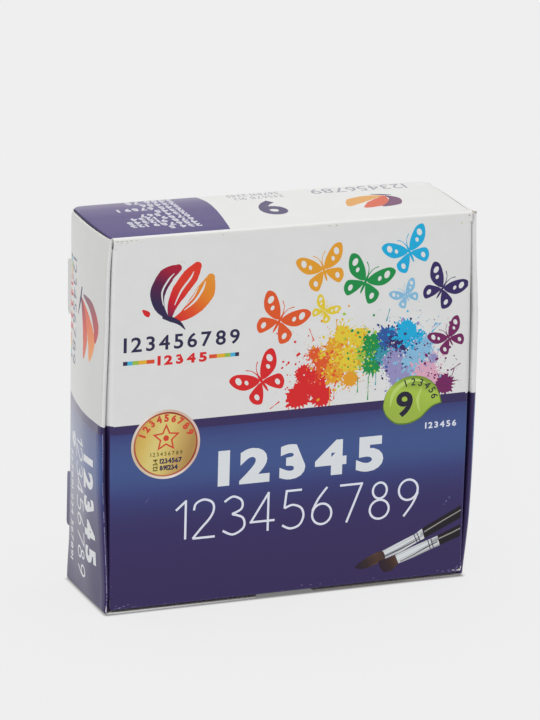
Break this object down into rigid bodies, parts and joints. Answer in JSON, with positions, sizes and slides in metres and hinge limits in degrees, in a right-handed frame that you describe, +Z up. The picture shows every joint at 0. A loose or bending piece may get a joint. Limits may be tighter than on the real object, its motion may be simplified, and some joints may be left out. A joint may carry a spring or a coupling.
{
  "type": "gouache paint box",
  "caption": "Square folding carton of gouache jars standing on edge: a tray with rolled double side walls, a hinged tuck-in lid, and a block of screw-capped jars inside.",
  "frame": {"origin": "centre of the bounding box at the table, as the carton stands on its notched bottom wall", "axes": "+Z up along the lid's face to its hinge, +Y from the lid back to the base panel, +X to the right as seen from in front of the lid"},
  "size_m": [0.1214, 0.0372, 0.115],
  "materials": {
    "printed_board": "glossy printed face, pale grey back",
    "lid_board": "glossy printed face, pale grey back",
    "plain_board": "uncoated grey-white back of the board",
    "jar_shell": "translucent polypropylene",
    "cap_liner": "foamed board disc",
    "cap_white": "moulded, ribbed skirt",
    "paint_white": "thick matt gouache",
    "cap_light_yellow": "moulded, ribbed skirt",
    "paint_light_yellow": "thick matt gouache",
    "cap_ochre": "moulded, ribbed skirt",
    "paint_ochre": "thick matt gouache",
    "cap_scarlet": "moulded, ribbed skirt",
    "paint_scarlet": "thick matt gouache",
    "cap_light_green": "moulded, ribbed skirt",
    "paint_light_green": "thick matt gouache",
    "cap_light_blue": "moulded, ribbed skirt",
    "paint_light_blue": "thick matt gouache",
    "cap_ultramarine": "moulded, ribbed skirt",
    "paint_ultramarine": "thick matt gouache",
    "cap_brown": "moulded, ribbed skirt",
    "paint_brown": "thick matt gouache",
    "cap_black": "moulded, ribbed skirt",
    "paint_black": "thick matt gouache"
  },
  "bodies": {
    "tray": {"base_panel": "printed_board", "top_wall": "printed_board", "bottom_wall": "printed_board", "left_outer_wall": "printed_board", "left_inner_wall": "plain_board", "left_top_corner_flap": "plain_board", "left_bottom_corner_flap": "plain_board", "right_outer_wall": "printed_board", "right_inner_wall": "plain_board", "right_top_corner_flap": "plain_board", "right_bottom_corner_flap": "plain_board"},
    "lid": {"lid_panel": "lid_board"},
    "tuck_flap": {"lid_tuck_flap": "lid_board"},
    "left_ear": {"lid_left_ear": "plain_board"},
    "right_ear": {"lid_right_ear": "plain_board"},
    "jar_1": {"jar_1_body": "jar_shell", "jar_1_paint": "paint_white"},
    "liner_1": {"jar_1_liner": "cap_liner"},
    "cap_1": {"jar_1_cap": "cap_white"},
    "jar_2": {"jar_2_body": "jar_shell", "jar_2_paint": "paint_light_yellow"},
    "liner_2": {"jar_2_liner": "cap_liner"},
    "cap_2": {"jar_2_cap": "cap_light_yellow"},
    "jar_3": {"jar_3_body": "jar_shell", "jar_3_paint": "paint_ochre"},
    "liner_3": {"jar_3_liner": "cap_liner"},
    "cap_3": {"jar_3_cap": "cap_ochre"},
    "jar_4": {"jar_4_body": "jar_shell", "jar_4_paint": "paint_scarlet"},
    "liner_4": {"jar_4_liner": "cap_liner"},
    "cap_4": {"jar_4_cap": "cap_scarlet"},
    "jar_5": {"jar_5_body": "jar_shell", "jar_5_paint": "paint_light_green"},
    "liner_5": {"jar_5_liner": "cap_liner"},
    "cap_5": {"jar_5_cap": "cap_light_green"},
    "jar_6": {"jar_6_body": "jar_shell", "jar_6_paint": "paint_light_blue"},
    "liner_6": {"jar_6_liner": "cap_liner"},
    "cap_6": {"jar_6_cap": "cap_light_blue"},
    "jar_7": {"jar_7_body": "jar_shell", "jar_7_paint": "paint_ultramarine"},
    "liner_7": {"jar_7_liner": "cap_liner"},
    "cap_7": {"jar_7_cap": "cap_ultramarine"},
    "jar_8": {"jar_8_body": "jar_shell", "jar_8_paint": "paint_brown"},
    "liner_8": {"jar_8_liner": "cap_liner"},
    "cap_8": {"jar_8_cap": "cap_brown"},
    "jar_9": {"jar_9_body": "jar_shell", "jar_9_paint": "paint_black"},
    "liner_9": {"jar_9_liner": "cap_liner"},
    "cap_9": {"jar_9_cap": "cap_black"}
  },
  "joints": [
    {"name": "lid_hinge", "type": "hinge", "parent": "tray", "child": "lid", "pos_m": [0, -0.01834, 0.11475], "axis": [-1, 0, 0], "range_deg": [0, 180]},
    {"name": "tuck_flap_crease", "type": "hinge", "parent": "lid", "child": "tuck_flap", "pos_m": [0, -0.01834, 0.00155], "axis": [-1, 0, 0], "range_deg": [0, 20]},
    {"name": "left_ear_crease", "type": "hinge", "parent": "lid", "child": "left_ear", "pos_m": [-0.05675, -0.01834, 0.0575], "axis": [0, 0, 1], "range_deg": [0, 15]},
    {"name": "right_ear_crease", "type": "hinge", "parent": "lid", "child": "right_ear", "pos_m": [0.05675, -0.01834, 0.0575], "axis": [0, 0, -1], "range_deg": [0, 15]},
    {"name": "jar_1_slide", "type": "slide", "parent": "tray", "child": "jar_1", "axis": [0, -1, 0], "range_m": [0, 0.0034]},
    {"name": "cap_1_lift", "type": "slide", "parent": "jar_1", "child": "liner_1", "axis": [0, -1, 0], "range_m": [0, 0.003]},
    {"name": "cap_1_unscrew", "type": "hinge", "parent": "liner_1", "child": "cap_1", "pos_m": [-0.03685, -0.00939, 0.0952], "axis": [0, -1, 0], "range_deg": [0, 360]},
    {"name": "jar_2_slide", "type": "slide", "parent": "tray", "child": "jar_2", "axis": [0, -1, 0], "range_m": [0, 0.0034]},
    {"name": "cap_2_lift", "type": "slide", "parent": "jar_2", "child": "liner_2", "axis": [0, -1, 0], "range_m": [0, 0.003]},
    {"name": "cap_2_unscrew", "type": "hinge", "parent": "liner_2", "child": "cap_2", "pos_m": [0, -0.00939, 0.0952], "axis": [0, -1, 0], "range_deg": [0, 360]},
    {"name": "jar_3_slide", "type": "slide", "parent": "tray", "child": "jar_3", "axis": [0, -1, 0], "range_m": [0, 0.0034]},
    {"name": "cap_3_lift", "type": "slide", "parent": "jar_3", "child": "liner_3", "axis": [0, -1, 0], "range_m": [0, 0.003]},
    {"name": "cap_3_unscrew", "type": "hinge", "parent": "liner_3", "child": "cap_3", "pos_m": [0.03685, -0.00939, 0.0952], "axis": [0, -1, 0], "range_deg": [0, 360]},
    {"name": "jar_4_slide", "type": "slide", "parent": "tray", "child": "jar_4", "axis": [0, -1, 0], "range_m": [0, 0.0034]},
    {"name": "cap_4_lift", "type": "slide", "parent": "jar_4", "child": "liner_4", "axis": [0, -1, 0], "range_m": [0, 0.003]},
    {"name": "cap_4_unscrew", "type": "hinge", "parent": "liner_4", "child": "cap_4", "pos_m": [-0.03685, -0.00939, 0.05835], "axis": [0, -1, 0], "range_deg": [0, 360]},
    {"name": "jar_5_slide", "type": "slide", "parent": "tray", "child": "jar_5", "axis": [0, -1, 0], "range_m": [0, 0.0034]},
    {"name": "cap_5_lift", "type": "slide", "parent": "jar_5", "child": "liner_5", "axis": [0, -1, 0], "range_m": [0, 0.003]},
    {"name": "cap_5_unscrew", "type": "hinge", "parent": "liner_5", "child": "cap_5", "pos_m": [0, -0.00939, 0.05835], "axis": [0, -1, 0], "range_deg": [0, 360]},
    {"name": "jar_6_slide", "type": "slide", "parent": "tray", "child": "jar_6", "axis": [0, -1, 0], "range_m": [0, 0.0034]},
    {"name": "cap_6_lift", "type": "slide", "parent": "jar_6", "child": "liner_6", "axis": [0, -1, 0], "range_m": [0, 0.003]},
    {"name": "cap_6_unscrew", "type": "hinge", "parent": "liner_6", "child": "cap_6", "pos_m": [0.03685, -0.00939, 0.05835], "axis": [0, -1, 0], "range_deg": [0, 360]},
    {"name": "jar_7_slide", "type": "slide", "parent": "tray", "child": "jar_7", "axis": [0, -1, 0], "range_m": [0, 0.0034]},
    {"name": "cap_7_lift", "type": "slide", "parent": "jar_7", "child": "liner_7", "axis": [0, -1, 0], "range_m": [0, 0.003]},
    {"name": "cap_7_unscrew", "type": "hinge", "parent": "liner_7", "child": "cap_7", "pos_m": [-0.03685, -0.00939, 0.0215], "axis": [0, -1, 0], "range_deg": [0, 360]},
    {"name": "jar_8_slide", "type": "slide", "parent": "tray", "child": "jar_8", "axis": [0, -1, 0], "range_m": [0, 0.0034]},
    {"name": "cap_8_lift", "type": "slide", "parent": "jar_8", "child": "liner_8", "axis": [0, -1, 0], "range_m": [0, 0.003]},
    {"name": "cap_8_unscrew", "type": "hinge", "parent": "liner_8", "child": "cap_8", "pos_m": [0, -0.00939, 0.0215], "axis": [0, -1, 0], "range_deg": [0, 360]},
    {"name": "jar_9_slide", "type": "slide", "parent": "tray", "child": "jar_9", "axis": [0, -1, 0], "range_m": [0, 0.0034]},
    {"name": "cap_9_lift", "type": "slide", "parent": "jar_9", "child": "liner_9", "axis": [0, -1, 0], "range_m": [0, 0.003]},
    {"name": "cap_9_unscrew", "type": "hinge", "parent": "liner_9", "child": "cap_9", "pos_m": [0.03685, -0.00939, 0.0215], "axis": [0, -1, 0], "range_deg": [0, 360]}
  ],
  "couplings": [
    {"joint": "tuck_flap_crease", "follows": "lid_hinge", "ratio": 0.11111},
    {"joint": "left_ear_crease", "follows": "lid_hinge", "ratio": 0.083332},
    {"joint": "right_ear_crease", "follows": "lid_hinge", "ratio": 0.083332},
    {"joint": "cap_1_lift", "follows": "cap_1_unscrew", "m_per_rad": 0.00047746},
    {"joint": "cap_2_lift", "follows": "cap_2_unscrew", "m_per_rad": 0.00047746},
    {"joint": "cap_3_lift", "follows": "cap_3_unscrew", "m_per_rad": 0.00047746},
    {"joint": "cap_4_lift", "follows": "cap_4_unscrew", "m_per_rad": 0.00047746},
    {"joint": "cap_5_lift", "follows": "cap_5_unscrew", "m_per_rad": 0.00047746},
    {"joint": "cap_6_lift", "follows": "cap_6_unscrew", "m_per_rad": 0.00047746},
    {"joint": "cap_7_lift", "follows": "cap_7_unscrew", "m_per_rad": 0.00047746},
    {"joint": "cap_8_lift", "follows": "cap_8_unscrew", "m_per_rad": 0.00047746},
    {"joint": "cap_9_lift", "follows": "cap_9_unscrew", "m_per_rad": 0.00047746}
  ]
}
